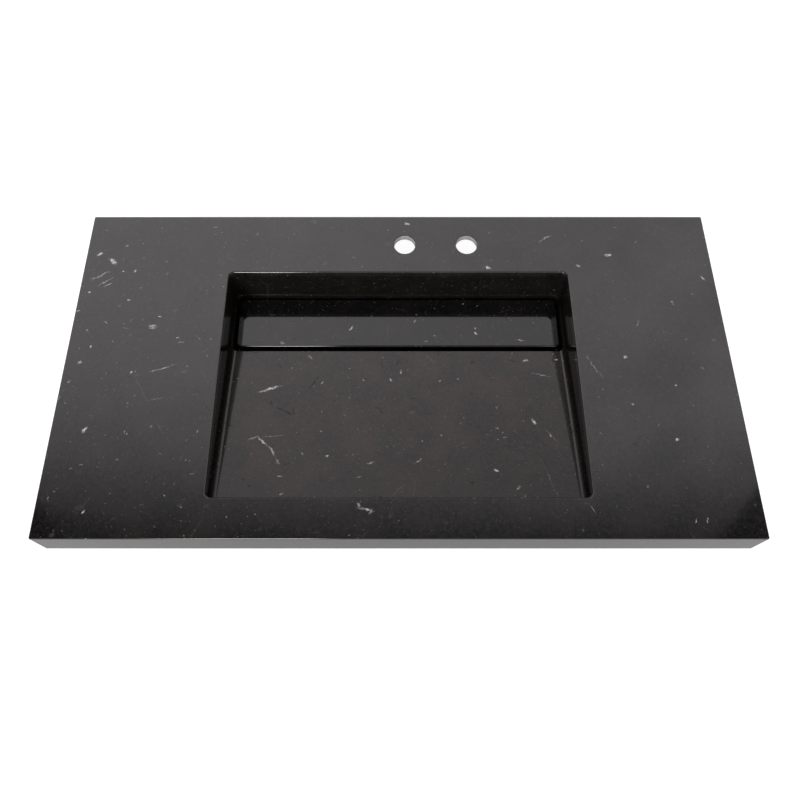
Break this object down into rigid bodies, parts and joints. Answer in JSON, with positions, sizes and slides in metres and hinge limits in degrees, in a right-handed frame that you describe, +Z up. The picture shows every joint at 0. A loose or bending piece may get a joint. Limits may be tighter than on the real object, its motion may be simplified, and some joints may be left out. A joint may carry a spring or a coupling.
{
  "type": "vanity top with integral basin",
  "caption": "Black marble-effect vanity top with an integral ramp basin, a lift-out plate over its rear drain trough, and tap holes.",
  "frame": {"origin": "middle of the front rail's underside, on the plane that the top rests on", "axes": "+X to the right as seen from the front, +Y to the wall behind, +Z up"},
  "size_m": [1.016, 0.533, 0.2605],
  "materials": {
    "marble_effect": "polished black with white veins",
    "plywood": "sealed",
    "rubber": "matt",
    "chrome": "polished",
    "fibre": "matt"
  },
  "bodies": {
    "top": {"deck_sheet": "marble_effect", "front_apron": "marble_effect", "left_apron": "marble_effect", "right_apron": "marble_effect", "back_strip": "marble_effect", "basin_bowl": "marble_effect", "front_rail": "plywood", "back_rail": "plywood", "left_rail": "plywood", "right_rail": "plywood", "left_bridge": "plywood", "right_bridge": "plywood", "flange_seal": "rubber", "cone_washer": "rubber", "drain_body": "chrome", "strainer_grid": "chrome", "lock_nut": "chrome", "tailpiece": "chrome", "friction_washer": "fibre"},
    "cover": {"drain_cover": "marble_effect", "left_spacer": "marble_effect", "right_spacer": "marble_effect", "bumper_front_left": "rubber", "bumper_front_right": "rubber", "bumper_back_left": "rubber", "bumper_back_right": "rubber"}
  },
  "joints": [
    {"name": "cover_lift", "type": "slide", "parent": "top", "child": "cover", "axis": [0, 0, 1], "range_m": [0, 0.1]}
  ]
}
